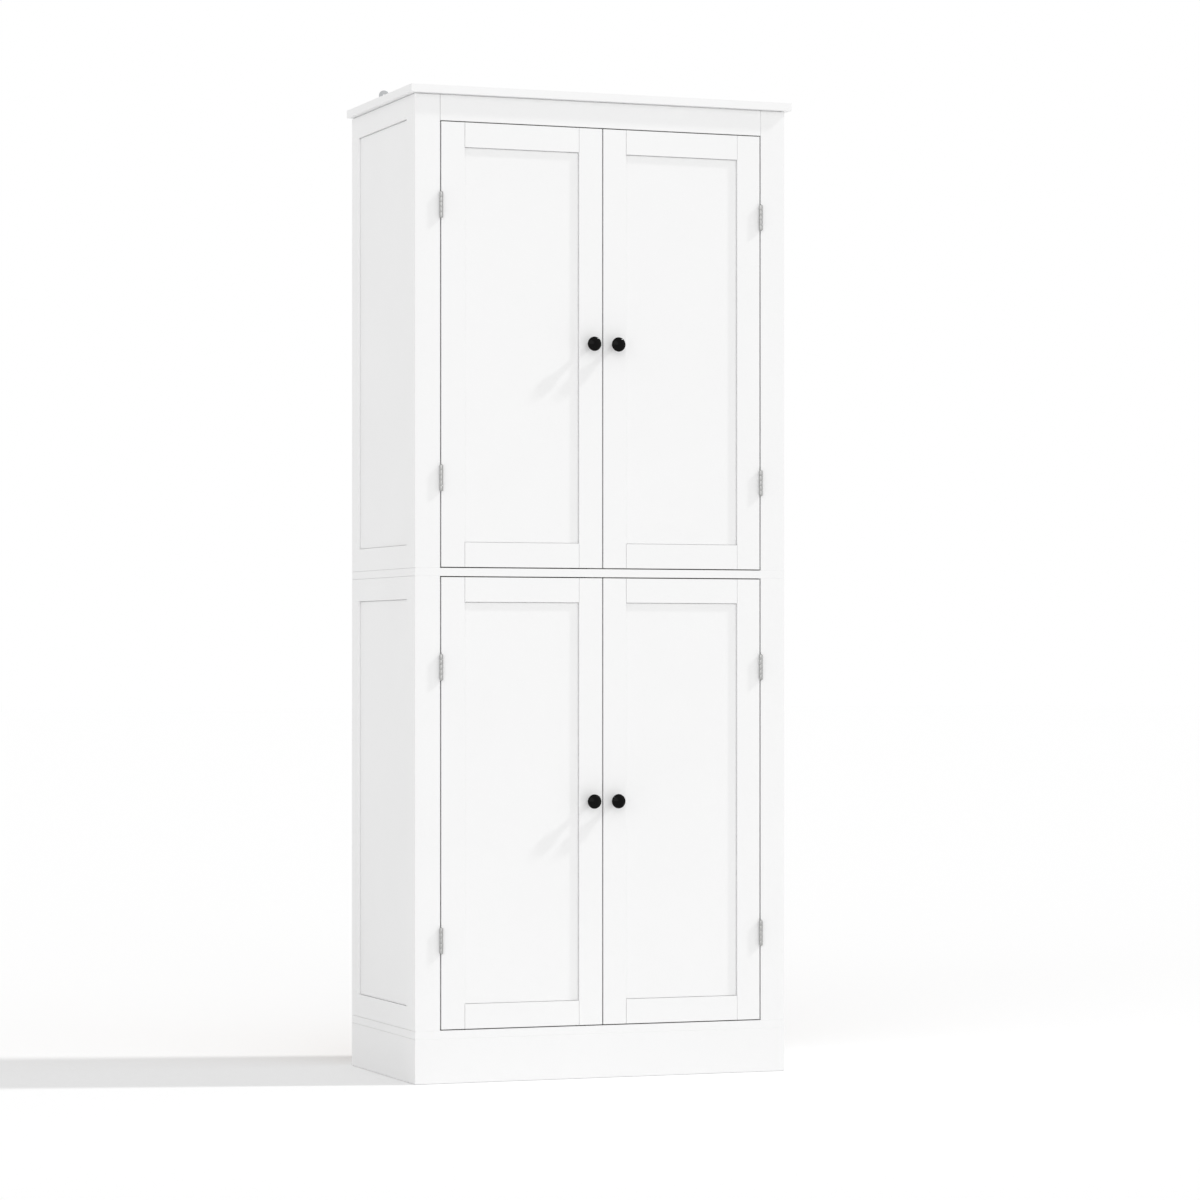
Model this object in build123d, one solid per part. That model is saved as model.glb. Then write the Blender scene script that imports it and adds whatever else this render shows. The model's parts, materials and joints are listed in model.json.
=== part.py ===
from build123d import *
import os

# Tall four-door pantry cabinet in painted board, standing on a plinth.
# Millimetres. +Z is up, the doors face -Y, X runs along the width.
# The origin is on the floor, in the middle of the carcass footprint.

# Carcass
carcass_width = 739.0
carcass_depth = 391.0
board = 15.0                    # thickness of every structural board
plinth_height = 83.0
lower_opening = 839.0           # clear height of the lower door opening
upper_opening = 826.0           # clear height of the upper door opening
face_stile_width = 48.5
face_rail_height = 48.5
top_overhang_side = 10.5
top_overhang_front = 12.0
arris = 0.4                     # eased edge of the painted boards

# Fine open lines where the boards meet
joint_line = 0.6                # at the ends of the rails
joint_line_depth = 2.5
seam = 0.35                     # above and below the bottom and middle boards, at the sides
seam_depth = 1.5
top_line = 1.5                  # under the top board
top_line_depth = 2.5
floor_line = 0.7                # under the plinth's outer edges
floor_line_depth = 2.0

# Recessed field on the outside of each side board
field_depth = 4.2
field_margin_front = 50.0       # from the front face of the cabinet
field_margin_back = 42.0
field_margin_ends = 42.4
field_quirk = 1.2               # width of the deeper line round the field
field_quirk_depth = 2.5

# Back panels, let into grooves in the side boards
back_thickness = 4.0
back_inset = 8.0                # from the rear edge of the carcass
back_groove_depth = 6.0
back_play = 0.2

# Loose shelves on pins
shelf_count = 2                 # in each compartment
shelf_setback = 44.0            # front edge, behind the front face
shelf_side_play = 1.0
shelf_back_play = 0.5
pin_radius = 2.5
pin_bite = 8.0                  # length held in the side board
pin_reach = 7.0                 # length under the shelf
pin_head_radius = 3.6
pin_flat = 1.6                  # height of the flat seat above the pin's axis
pin_edge_front = 70.0           # front row, behind the front face
pin_edge_back = 62.0            # rear row, ahead of the rear edge
pin_pitch = 32.0
pin_spare_rows = 2              # spare holes above and below each pin
pin_play = 0.05

# Doors, inset flush with the face frame
door_gap = 2.0                  # above and below each door
hinge_gap = 2.6                 # between a door and the face frame, filled by the hinge leaves
meeting_gap = 2.6               # between a pair of doors
door_thickness = 15.0
door_frame_width = 45.6         # width of the stiles and rails
door_recess = 5.0               # front face of the frame to the panel
door_panel = 5.0                # thickness of the panel
panel_tongue = 2.5              # thickness of its edge, in the frame's groove
panel_gap = 1.0                 # open line between the frame and the panel's thick part
door_groove = 8.0               # depth of the groove that holds the panel
door_panel_play = 0.4           # room at the panel's edges, for it to move
door_groove_play = 0.1

# Butt hinges, with only the barrel showing
hinge_inset_bottom = 164.0      # lower hinge's middle, above the door's bottom edge
lower_hinge_inset_top = 166.5   # upper hinge's middle, below the door's top edge
upper_hinge_inset_top = 154.0
barrel_length = 47.0
barrel_radius = 3.4
barrel_clear = 0.3              # barrel to the front face
knuckle_count = 5
knuckle_play = 0.3
hinge_pin_radius = 1.5
hinge_pin_play = 0.05
hinge_pin_head = 1.6            # height of each bevelled head
hinge_pin_head_radius = 2.9
leaf_thickness = 1.1
leaf_width = 13.0               # depth of the leaf behind the front face
leaf_screw_rise = 15.0          # screws above and below the hinge's middle
leaf_screw_inset = 7.5          # screws behind the front face
leaf_screw_length = 15.0
leaf_screw_radius = 1.5
leaf_screw_head_radius = 2.7

# Round knobs, each on one screw
knob_rise = 418.0               # above the door's bottom edge
knob_base_radius = 6.0
knob_base_height = 1.6
knob_neck_radius = 5.2
knob_neck_height = 7.0
knob_radius = 13.5
knob_under_radius = 11.3        # where the flare turns up into the rim
knob_under_drop = 3.45          # and how far that is below the widest ring
knob_rim_round = 3.0
knob_dome_radius = 23.0
knob_projection = 26.3
knob_screw_radius = 2.0
knob_screw_bite = 11.0
knob_screw_head_radius = 3.9
knob_screw_head_height = 2.4

# Magnetic catches on the middle board, and their strike plates on the doors
catch_width = 50.0
catch_depth = 24.0
catch_height = 13.0
catch_gap = 0.3                 # strike plate to magnet, doors shut
magnet_width = 15.0
magnet_depth = 9.0
magnet_height = 9.0
magnet_spacing = 25.0
magnet_proud = 0.6
strike_width = 20.0
strike_height = 12.0
strike_thickness = 1.2
strike_edge = 2.0               # strike plate to the door's edge
catch_screw_spacing = 34.0
catch_screw_setback = 17.0
catch_screw_bite = 6.0
small_screw_radius = 1.4
small_screw_head_radius = 2.6
strike_screw_length = 9.0

# Wall brackets against tipping
bracket_width = 20.0
bracket_thickness = 2.0
bracket_rise = 42.5             # above the top board
bracket_foot = 38.0             # along the top board
bracket_bend = 3.0              # outer radius of the bend
bracket_edge = 64.5             # bracket's middle to the side of the carcass
bracket_hole_radius = 2.5
bracket_hole_end = 10.0         # hole to the rounded end
bracket_tip = 9.4               # radius of the rounded ends' corners
bracket_screw_radius = 2.0
bracket_screw_head_radius = 4.2
bracket_screw_head_height = 2.4
bracket_screw_bite = 11.0

# Beech dowels that locate the boards
dowel_radius = 4.0
dowel_bite = 20.0               # in the side boards and plinth sides
dowel_top_bite = 10.0           # blind hole in the top board
dowel_edge = 75.0               # from the front face and from the rear edge
dowel_play = 0.05
screw_play = 0.05
crown_share = 0.6               # part of a raised head's height that is bevelled

# Places that follow from the sizes
half_width = carcass_width / 2
front = -carcass_depth / 2
rear = carcass_depth / 2
inner_half = half_width - board
opening_half = half_width - face_stile_width
bottom_top = plinth_height + board
middle_under = bottom_top + lower_opening
middle_top = middle_under + board
rail_under = middle_top + upper_opening
top_under = rail_under + face_rail_height
cabinet_top = top_under + board
door_back = front + door_thickness
back_face = rear - back_inset - back_thickness
shelf_front = front + shelf_setback
shelf_back = back_face - shelf_back_play
hinge_y = front - barrel_radius - barrel_clear
hinge_x = opening_half - hinge_gap / 2
catch_front = door_back + strike_thickness + catch_gap + magnet_proud
hands = {"left": -1, "right": 1}
dowel_ys = (front + dowel_edge, rear - dowel_edge)

# Each compartment: its floor, the top of its door opening, its ceiling,
# and how far its upper hinge sits below the top of the door
compartments = {
    "lower": (bottom_top, middle_under, middle_under, lower_hinge_inset_top),
    "upper": (middle_top, rail_under, top_under, upper_hinge_inset_top),
}


def block(x, y, z):
    """A plain box between pairs of limits, in any order."""
    sizes = [abs(limit[1] - limit[0]) for limit in (x, y, z)]
    centre = [(limit[0] + limit[1]) / 2 for limit in (x, y, z)]
    return Pos(*centre) * Box(*sizes)


def eased(x, y, z):
    """A board: a box with its arrises eased."""
    plain = block(x, y, z)
    return chamfer(plain.edges(), arris)


def outer_line(z, depth):
    """A shallow cut round the front and sides of the carcass, between two heights."""
    whole = block((-half_width, half_width), (front, rear), z)
    return whole - block((depth - half_width, half_width - depth), (front + depth, rear), z)


def rod(start, direction, radius, length):
    """A round bar from a point along a direction."""
    place = Plane(origin=start, z_dir=direction)
    return place * Cylinder(radius, length, align=(Align.CENTER, Align.CENTER, Align.MIN))


def turned(start, direction, points):
    """A turned piece: (radius, height) corners spun round a direction."""
    outline = Polyline(*[(radius, 0, height) for radius, height in points], close=True)
    body = revolve(make_face(outline), Axis.Z)
    return Plane(origin=start, z_dir=direction) * body


def countersunk_screw(start, direction, radius, head_radius, length, play=0.0):
    """A flush screw, its head's face at start, driven along direction."""
    cone = head_radius - radius
    points = [
        (0, 0),
        (head_radius + play, 0),
        (radius + play, cone),
        (radius + play, length - radius + play),
        (0, length + play),
    ]
    return turned(start, direction, points)


def bevelled_head(seat, direction, radius, height):
    """A round head that stands on seat, with a bevelled crown."""
    head = rod(seat, direction, radius, height)
    crown = head.faces().sort_by(Axis(seat, direction))[-1]
    return chamfer(crown.edges(), crown_share * height)


def pan_screw(seat, direction, radius, head_radius, head_height, length):
    """A raised-head screw, its head on seat, driven along direction."""
    backward = tuple(-part for part in direction)
    head = bevelled_head(seat, backward, head_radius, head_height)
    return head + rod(seat, direction, radius, length)


def dowel(x, y, low, high, play=0.0):
    """An upright dowel, or the hole for one."""
    body = rod((x, y, low - play), (0, 0, 1), dowel_radius + play, high - low + 2 * play)
    return body if play else chamfer(body.edges().filter_by(GeomType.CIRCLE), arris)


def shelf_levels(floor, ceiling):
    """Undersides of the shelves that share a compartment evenly."""
    space = (ceiling - floor - shelf_count * board) / (shelf_count + 1)
    return [floor + space + index * (space + board) for index in range(shelf_count)]


def pin_places(floor, ceiling, spares):
    """(y, z) of the pin axes, or of every pin hole where spares is true."""
    rows = range(-pin_spare_rows, pin_spare_rows + 1) if spares else (0,)
    columns = (front + pin_edge_front, rear - pin_edge_back)
    return [
        (y, level - pin_flat + row * pin_pitch)
        for level in shelf_levels(floor, ceiling)
        for row in rows
        for y in columns
    ]


def hinge_levels(name):
    """Middle heights of the two hinges of a compartment's doors."""
    floor, opening_top, ceiling, inset_top = compartments[name]
    return (floor + door_gap + hinge_inset_bottom, opening_top - door_gap - inset_top)


# Dowels between the side boards and the boards above and below them
dowel_spans = {
    "top": (top_under - dowel_bite, top_under + dowel_top_bite),
    "middle": (middle_under - dowel_bite, middle_top + dowel_bite),
    "bottom": (plinth_height - dowel_bite, bottom_top + dowel_bite),
}


def dowels_at(place, play=0.0, signs=(-1, 1)):
    """The dowels at one of the three levels, or the holes for them."""
    low, high = dowel_spans[place]
    x = half_width - board / 2
    return [dowel(sign * x, y, low, high, play) for sign in signs for y in dowel_ys]


def leaf_screws(name, sign, towards, play=0.0):
    """Screws through the leaves of one door, into the frame or the door."""
    face = sign * hinge_x + towards * sign * (hinge_gap / 2 - leaf_thickness)
    return [
        countersunk_screw(
            (face, front + leaf_screw_inset, level + rise),
            (towards * sign, 0, 0),
            leaf_screw_radius,
            leaf_screw_head_radius,
            leaf_screw_length,
            play,
        )
        for level in hinge_levels(name)
        for rise in (-leaf_screw_rise, leaf_screw_rise)
    ]


def hinge_leaf(sign, towards, level, first):
    """One leaf with every other knuckle, counted from first, and no screw holes."""
    edge = sign * (hinge_x + towards * hinge_gap / 2)
    inner = edge - sign * towards * leaf_thickness
    low = level - barrel_length / 2
    pitch = (barrel_length + knuckle_play) / knuckle_count
    plate_start = hinge_y + barrel_radius + barrel_clear + knuckle_play
    leaf = block((edge, inner), (plate_start, front + leaf_width), (low, low + barrel_length))
    for index in range(first, knuckle_count, 2):
        bottom = low + index * pitch
        span = (bottom, bottom + pitch - knuckle_play)
        leaf += rod((sign * hinge_x, hinge_y, bottom), (0, 0, 1), barrel_radius, span[1] - span[0])
        leaf += block((edge, inner), (hinge_y, plate_start), span)
    bore = hinge_pin_radius + hinge_pin_play
    return leaf - rod((sign * hinge_x, hinge_y, low), (0, 0, 1), bore, barrel_length)


def hinge_pin(sign, level):
    """A pin with a bevelled head at each end of the barrel."""
    x = sign * hinge_x
    pin = rod((x, hinge_y, level - barrel_length / 2), (0, 0, 1), hinge_pin_radius, barrel_length)
    for end in (-1, 1):
        seat = (x, hinge_y, level + end * barrel_length / 2)
        pin += bevelled_head(seat, (0, 0, end), hinge_pin_head_radius, hinge_pin_head)
    return pin


def side_board(sign, floor, ceiling):
    """A side: recessed field outside, groove, pin holes and dowel holes inside."""
    outer = sign * half_width
    inner = sign * inner_half
    side = eased((outer, inner), (front + board, rear), (floor, ceiling))
    field_face = outer - sign * field_depth
    field_y = (front + field_margin_front, rear - field_margin_back)
    field_z = (floor + field_margin_ends, ceiling - field_margin_ends)
    side -= block((outer, field_face), field_y, field_z)
    quirk_x = (field_face, field_face - sign * field_quirk_depth)
    quirk = block(quirk_x, field_y, field_z)
    quirk -= block(
        quirk_x,
        (field_y[0] + field_quirk, field_y[1] - field_quirk),
        (field_z[0] + field_quirk, field_z[1] - field_quirk),
    )
    side -= quirk
    side -= block(
        (inner, inner + sign * back_groove_depth),
        (back_face - back_play, rear - back_inset + back_play),
        (floor, ceiling),
    )
    for y, z in pin_places(floor, ceiling, True):
        side -= rod((inner, y, z), (sign, 0, 0), pin_radius + pin_play, pin_bite + pin_play)
    for place in dowel_spans:
        for hole in dowels_at(place, dowel_play, (sign,)):
            side -= hole
    return side


def shelf_pin(sign, y, z):
    """A pin in its hole, with a flat-topped head that the shelf lies on."""
    inner = sign * inner_half
    shank = rod((inner, y, z), (sign, 0, 0), pin_radius, pin_bite)
    head = rod((inner, y, z), (-sign, 0, 0), pin_head_radius, pin_reach)
    above = block(
        (inner, inner - sign * pin_reach),
        (y - pin_head_radius, y + pin_head_radius),
        (z + pin_flat, z + pin_head_radius),
    )
    return shank + (head - above)


def wall_bracket(x):
    """A bent strip: a foot on the top board and a tongue against the wall."""
    turn = bracket_bend
    inside = bracket_bend - bracket_thickness
    strip = block(
        (x - bracket_width / 2, x + bracket_width / 2),
        (rear - bracket_foot, rear),
        (cabinet_top, cabinet_top + bracket_rise),
    )
    strip -= block(
        (x - bracket_width / 2, x + bracket_width / 2),
        (rear - bracket_foot, rear - bracket_thickness),
        (cabinet_top + bracket_thickness, cabinet_top + bracket_rise),
    )
    along = strip.edges().filter_by(Axis.X)
    strip = fillet(along.sort_by_distance((x, rear, cabinet_top))[0], turn)
    along = strip.edges().filter_by(Axis.X)
    corner = (x, rear - bracket_thickness, cabinet_top + bracket_thickness)
    strip = fillet(along.sort_by_distance(corner)[0], inside)
    tips = strip.edges().filter_by(Axis.Y).group_by(Axis.Z)[-1]
    tips += strip.edges().filter_by(Axis.Z).group_by(Axis.Y)[0]
    strip = fillet(tips, bracket_tip)
    wall_hole = (x, rear, cabinet_top + bracket_rise - bracket_hole_end)
    strip -= rod(wall_hole, (0, -1, 0), bracket_hole_radius, bracket_thickness)
    foot_hole = (x, rear - bracket_foot + bracket_hole_end, cabinet_top)
    return strip - rod(foot_hole, (0, 0, 1), bracket_hole_radius, bracket_thickness)


def bracket_screw(x):
    """The screw that holds a bracket's foot to the top board."""
    seat = (x, rear - bracket_foot + bracket_hole_end, cabinet_top + bracket_thickness)
    head = (bracket_screw_head_radius, bracket_screw_head_height)
    length = bracket_thickness + bracket_screw_bite
    return pan_screw(seat, (0, 0, -1), bracket_screw_radius, *head, length)


def catch_screws(up, play=0.0):
    """Screws of the catch above (up = 1) or below (up = -1) the middle board."""
    seat = (middle_top if up > 0 else middle_under) + up * catch_height
    y = catch_front + catch_screw_setback
    return [
        countersunk_screw(
            (side * catch_screw_spacing / 2, y, seat),
            (0, 0, -up),
            small_screw_radius,
            small_screw_head_radius,
            catch_height + catch_screw_bite,
            play,
        )
        for side in (-1, 1)
    ]


def catch_pieces(up):
    """A catch: a housing with two magnets let into its front."""
    seat = middle_top if up > 0 else middle_under
    level = seat + up * catch_height / 2
    housing = eased(
        (-catch_width / 2, catch_width / 2),
        (catch_front, catch_front + catch_depth),
        (seat, seat + up * catch_height),
    )
    magnets = []
    for side in (-1, 1):
        x = side * magnet_spacing / 2
        magnet = block(
            (x - magnet_width / 2, x + magnet_width / 2),
            (catch_front - magnet_proud, catch_front + magnet_depth),
            (level - magnet_height / 2, level + magnet_height / 2),
        )
        housing -= magnet
        magnets.append(magnet)
    for screw in catch_screws(up, screw_play):
        housing -= screw
    return [housing] + magnets


def knob_body(x, z):
    """A turned knob: foot, waisted neck, round rim and domed face."""
    reach = knob_dome_radius - knob_rim_round
    across = knob_radius - knob_rim_round
    lift = (reach ** 2 - across ** 2) ** 0.5
    dome_middle = knob_projection - knob_dome_radius
    meeting = knob_dome_radius / reach
    foot = (knob_base_radius, knob_base_height)
    neck = (knob_neck_radius, knob_neck_height)
    rim = (knob_radius, dome_middle + lift)
    under = (knob_under_radius, rim[1] - knob_under_drop)
    crown = (across * meeting, dome_middle + lift * meeting)
    with BuildSketch(Plane.XZ) as section:
        with BuildLine():
            Line((0, 0), (knob_base_radius, 0))
            Line((knob_base_radius, 0), foot)
            TangentArc(neck, foot, tangent=(0, -1))
            flare = TangentArc(neck, under, tangent=(0, 1))
            TangentArc(under, rim, tangent=flare % 1)
            TangentArc(rim, crown, tangent=(0, 1))
            RadiusArc(crown, (0, knob_projection), -knob_dome_radius)
            Line((0, knob_projection), (0, 0))
        make_face()
    body = revolve(section.sketch, Axis.Z)
    return Plane(origin=(x, front, z), z_dir=(0, -1, 0)) * body


def door_pieces(name, hand):
    """The parts of one door, by name."""
    sign = hands[hand]
    floor, opening_top, ceiling, inset_top = compartments[name]
    low = floor + door_gap
    high = opening_top - door_gap
    hinge_edge = sign * (opening_half - hinge_gap)
    meeting_edge = sign * meeting_gap / 2
    hinge_shoulder = hinge_edge - sign * door_frame_width
    meeting_shoulder = meeting_edge + sign * door_frame_width
    depth = (front, door_back)
    panel_face = front + door_recess
    panel_back = panel_face + door_panel
    tongue = (panel_back - panel_tongue, panel_back)
    slot = (tongue[0] - door_groove_play, tongue[1] + door_groove_play)
    reach = door_groove - door_panel_play
    knob_x = (meeting_edge + meeting_shoulder) / 2
    knob_z = low + knob_rise

    hinge_stile = eased((hinge_edge, hinge_shoulder), depth, (low, high))
    hinge_stile -= block((hinge_shoulder, hinge_shoulder + sign * door_groove), slot, (low, high))
    knob_stile = eased((meeting_edge, meeting_shoulder), depth, (low, high))
    knob_stile -= block((meeting_shoulder, meeting_shoulder - sign * door_groove), slot, (low, high))

    tongue_x = (hinge_shoulder + sign * reach, meeting_shoulder - sign * reach)
    rails = []
    for outer, inward in ((low, 1), (high, -1)):
        inner = outer + inward * door_frame_width
        rail = eased((hinge_shoulder, meeting_shoulder), depth, (outer, inner))
        rail += block(tongue_x, tongue, (outer, inner))
        rail -= block(tongue_x, slot, (inner, inner - inward * door_groove))
        line_y = (front, front + joint_line_depth)
        rail -= block((hinge_shoulder, hinge_shoulder - sign * joint_line), line_y, (outer, inner))
        rail -= block((meeting_shoulder, meeting_shoulder + sign * joint_line), line_y, (outer, inner))
        rails.append(rail)

    panel_z = (low + door_frame_width - reach, high - door_frame_width + reach)
    panel = block(tongue_x, tongue, panel_z)
    panel += block(
        (hinge_shoulder - sign * panel_gap, meeting_shoulder + sign * panel_gap),
        (panel_face, panel_back),
        (low + door_frame_width + panel_gap, high - door_frame_width - panel_gap),
    )

    leaves = [hinge_leaf(sign, -1, level, 1) for level in hinge_levels(name)]
    screws = leaf_screws(name, sign, -1)
    for hole in leaf_screws(name, sign, -1, screw_play):
        leaves = [leaf - hole for leaf in leaves]
        hinge_stile -= hole

    knob = knob_body(knob_x, knob_z)
    seat = (knob_x, door_back, knob_z)
    length = door_thickness + knob_screw_bite
    head = (knob_screw_head_radius, knob_screw_head_height)
    screws.append(pan_screw(seat, (0, -1, 0), knob_screw_radius, *head, length))
    hole = rod(seat, (0, -1, 0), knob_screw_radius + screw_play, length + screw_play)
    knob -= hole
    knob_stile -= hole

    inward = 1 if name == "upper" else -1
    edge = low if name == "upper" else high
    strike_x = sign * magnet_spacing / 2
    strike_z = edge + inward * (strike_edge + strike_height / 2)
    strike = block(
        (strike_x - strike_width / 2, strike_x + strike_width / 2),
        (door_back, door_back + strike_thickness),
        (strike_z - strike_height / 2, strike_z + strike_height / 2),
    )
    corners = strike.edges().filter_by(Axis.Y)
    strike = fillet(corners, strike_thickness)
    fixing = ((strike_x, door_back + strike_thickness, strike_z), (0, -1, 0))
    size = (small_screw_radius, small_screw_head_radius, strike_screw_length)
    screws.append(countersunk_screw(*fixing, *size))
    hole = countersunk_screw(*fixing, *size, screw_play)
    strike -= hole
    knob_stile -= hole

    return {
        "hinge_stile": [hinge_stile],
        "knob_stile": [knob_stile],
        "rails": rails,
        "panel": [panel],
        "hinge_leaves": leaves,
        "knob": [knob],
        "strike_plate": [strike],
        "screws": screws,
    }


nodes = {}

# Plinth: the front board covers the ends of the sides
plinth_z = (0, plinth_height)
floor_cut = outer_line((0, floor_line), floor_line_depth)
plinth_front = eased((-half_width, half_width), (front, front + board), plinth_z)
nodes["plinth_front"] = [plinth_front - floor_cut]
nodes["plinth_back"] = [eased((-inner_half, inner_half), (rear - board, rear), plinth_z)]
nodes["plinth_brace"] = [eased((-board / 2, board / 2), (front + board, rear - board), plinth_z)]
for hand, sign in hands.items():
    plinth_side = eased((sign * half_width, sign * inner_half), (front + board, rear), plinth_z)
    for hole in dowels_at("bottom", dowel_play, (sign,)):
        plinth_side -= hole
    nodes[f"plinth_{hand}"] = [plinth_side - floor_cut]

# Boards that run the full width, their edges showing at the front and sides
bottom_board = eased((-half_width, half_width), (front, rear), (plinth_height, bottom_top))
middle_board = eased((-half_width, half_width), (front, rear), (middle_under, middle_top))
top_half = half_width + top_overhang_side
top_board = eased((-top_half, top_half), (front - top_overhang_front, rear), (top_under, cabinet_top))
for hole in dowels_at("bottom", dowel_play):
    bottom_board -= hole
for hole in dowels_at("middle", dowel_play):
    middle_board -= hole
for hole in dowels_at("top", dowel_play):
    top_board -= hole
for sign in hands.values():
    seam_x = (sign * half_width, sign * (half_width - seam_depth))
    for height in (plinth_height, bottom_top - seam):
        bottom_board -= block(seam_x, (front, rear), (height, height + seam))
    for height in (middle_under, middle_top - seam):
        middle_board -= block(seam_x, (front, rear), (height, height + seam))
for up in (-1, 1):
    for hole in catch_screws(up, screw_play):
        middle_board -= hole
bracket_xs = [sign * (half_width - bracket_edge) for sign in hands.values()]
for x in bracket_xs:
    hole_top = (x, rear - bracket_foot + bracket_hole_end, cabinet_top)
    radius = bracket_screw_radius + screw_play
    top_board -= rod(hole_top, (0, 0, -1), radius, bracket_screw_bite + screw_play)
nodes["bottom_board"] = [bottom_board]
nodes["middle_board"] = [middle_board]
nodes["top_board"] = [top_board]

# Sides, face frame, backs, shelves and pins of the two compartments
top_cut = outer_line((top_under - top_line, top_under), top_line_depth)
pins = []
frame_leaves = []
hinge_pins = []
carcass_screws = []
for name, (floor, opening_top, ceiling, inset_top) in compartments.items():
    for hand, sign in hands.items():
        side = side_board(sign, floor, ceiling)
        nodes[f"{name}_{hand}_side"] = [side - top_cut if name == "upper" else side]
        stile = eased(
            (sign * half_width, sign * opening_half), (front, front + board), (floor, ceiling)
        )
        leaves = [hinge_leaf(sign, 1, level, 0) for level in hinge_levels(name)]
        for hole in leaf_screws(name, sign, 1, screw_play):
            stile -= hole
            leaves = [leaf - hole for leaf in leaves]
        nodes[f"{name}_{hand}_face_stile"] = [stile - top_cut if name == "upper" else stile]
        frame_leaves += leaves
        hinge_pins += [hinge_pin(sign, level) for level in hinge_levels(name)]
        carcass_screws += leaf_screws(name, sign, 1)
        pins += [shelf_pin(sign, y, z) for y, z in pin_places(floor, ceiling, False)]
    groove_reach = inner_half + back_groove_depth - back_play
    nodes[f"{name}_back_panel"] = [
        block(
            (-groove_reach, groove_reach),
            (back_face, back_face + back_thickness),
            (floor + back_play, ceiling - back_play),
        )
    ]
    shelf_half = inner_half - shelf_side_play
    nodes[f"{name}_shelves"] = [
        eased((-shelf_half, shelf_half), (shelf_front, shelf_back), (level, level + board))
        for level in shelf_levels(floor, ceiling)
    ]
rail_z = (rail_under, top_under)
face_rail = eased((-opening_half, opening_half), (front, front + board), rail_z)
for sign in hands.values():
    line_x = (sign * opening_half, sign * (opening_half - joint_line))
    face_rail -= block(line_x, (front, front + joint_line_depth), rail_z)
nodes["top_face_rail"] = [face_rail - top_cut]
nodes["shelf_pins"] = pins

# Hardware fixed to the carcass
for up in (-1, 1):
    carcass_screws += catch_screws(up)
carcass_screws += [bracket_screw(x) for x in bracket_xs]
nodes["hinge_frame_leaves"] = frame_leaves
nodes["hinge_pins"] = hinge_pins
nodes["magnetic_catches"] = catch_pieces(1) + catch_pieces(-1)
nodes["wall_brackets"] = [wall_bracket(x) for x in bracket_xs]
nodes["carcass_screws"] = carcass_screws
nodes["dowels"] = [piece for place in dowel_spans for piece in dowels_at(place)]

# Doors
for name in compartments:
    for hand in hands:
        for piece, solids in door_pieces(name, hand).items():
            nodes[f"{name}_{hand}_door_{piece}"] = solids

os.makedirs("parts", exist_ok=True)
for node, solids in nodes.items():
    shape = solids[0] if len(solids) == 1 else Compound(children=solids)
    export_step(shape, f"parts/{node}.step")
print(len(nodes), "nodes,", sum(len(solids) for solids in nodes.values()), "solids")
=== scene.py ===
# %% [markdown]
# A tall white pantry cabinet: painted boards, four inset shaker doors, black knobs and butt hinges.
# The solids come packed from the CAD model, in metres, with the floor at Z = 0 and the doors facing -Y.
# They could be modelled again here, but their sizes and joints are right as they are. So this lesson keeps
# them and dresses them: a camera, soft light, a finish for every board, and finer metalwork.

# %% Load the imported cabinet
import json
import math

import bmesh
import bpy
from mathutils import Matrix, Vector


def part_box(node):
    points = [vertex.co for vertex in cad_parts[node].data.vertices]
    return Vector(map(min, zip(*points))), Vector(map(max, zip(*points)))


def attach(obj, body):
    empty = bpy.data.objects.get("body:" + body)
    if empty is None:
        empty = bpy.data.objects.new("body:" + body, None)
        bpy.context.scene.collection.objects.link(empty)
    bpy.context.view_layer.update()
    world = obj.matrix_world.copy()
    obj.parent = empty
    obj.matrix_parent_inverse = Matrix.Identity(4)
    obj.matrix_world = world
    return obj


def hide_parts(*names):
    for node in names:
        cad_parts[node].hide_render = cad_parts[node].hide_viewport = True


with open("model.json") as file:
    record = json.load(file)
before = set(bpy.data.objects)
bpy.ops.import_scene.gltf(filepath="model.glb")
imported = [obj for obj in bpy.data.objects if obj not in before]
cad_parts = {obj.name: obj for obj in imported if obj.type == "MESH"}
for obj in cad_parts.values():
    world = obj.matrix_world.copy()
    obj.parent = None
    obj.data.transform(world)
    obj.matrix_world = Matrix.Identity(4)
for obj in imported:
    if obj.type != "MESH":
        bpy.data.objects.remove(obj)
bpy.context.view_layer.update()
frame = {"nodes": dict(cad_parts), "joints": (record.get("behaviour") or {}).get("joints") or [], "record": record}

scene = bpy.context.scene
nodes = frame["nodes"]
mm = 0.001

# %% [markdown]
# The photograph was taken with a long lens and a level camera, so upright edges stay upright in it.
# A camera tilted to frame the cabinet would make them lean. A level one that frames a tall object off-centre
# is a shifted lens, as on a view camera, and Blender's camera has that shift.
# The numbers come from a fit of the cabinet's own edges, measured from its front left corner on the floor.

# %% Camera
photo_width_px = 1200
horizon_px = 662.75
focal_px = 4101.8
yaw = math.radians(20.70)
from_corner = Vector((-2349.8, -7181.5, 776.9)) * mm
far_limit = 200.0

camera_data = bpy.data.cameras.new("photo_camera")
camera_data.sensor_width = 36.0
camera_data.lens = focal_px * camera_data.sensor_width / photo_width_px
camera_data.shift_y = (horizon_px - photo_width_px / 2) / photo_width_px
camera_data.dof.use_dof = False
camera_data.clip_end = far_limit
camera = bpy.data.objects.new("photo_camera", camera_data)
scene.collection.objects.link(camera)
corner = Vector(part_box("plinth_front")[0])
camera.location = corner + from_corner
camera.rotation_euler = (math.pi / 2, 0.0, -yaw)
scene.camera = camera
scene.view_settings.view_transform = "Standard"
print("lens", round(camera_data.lens, 1), "mm, shift", round(camera_data.shift_y, 4))

# %% [markdown]
# The studio has a key light from the upper right and a broad fill from the left of the camera.
# Area lamps would do, but their light fades along a cabinet this tall. A sun lamp is as strong everywhere,
# and its angle still sets how soft its shadows are. The key grazes the doors, so that it draws the recesses
# and the knobs' long shadows, and the fill lifts what it draws.

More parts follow.
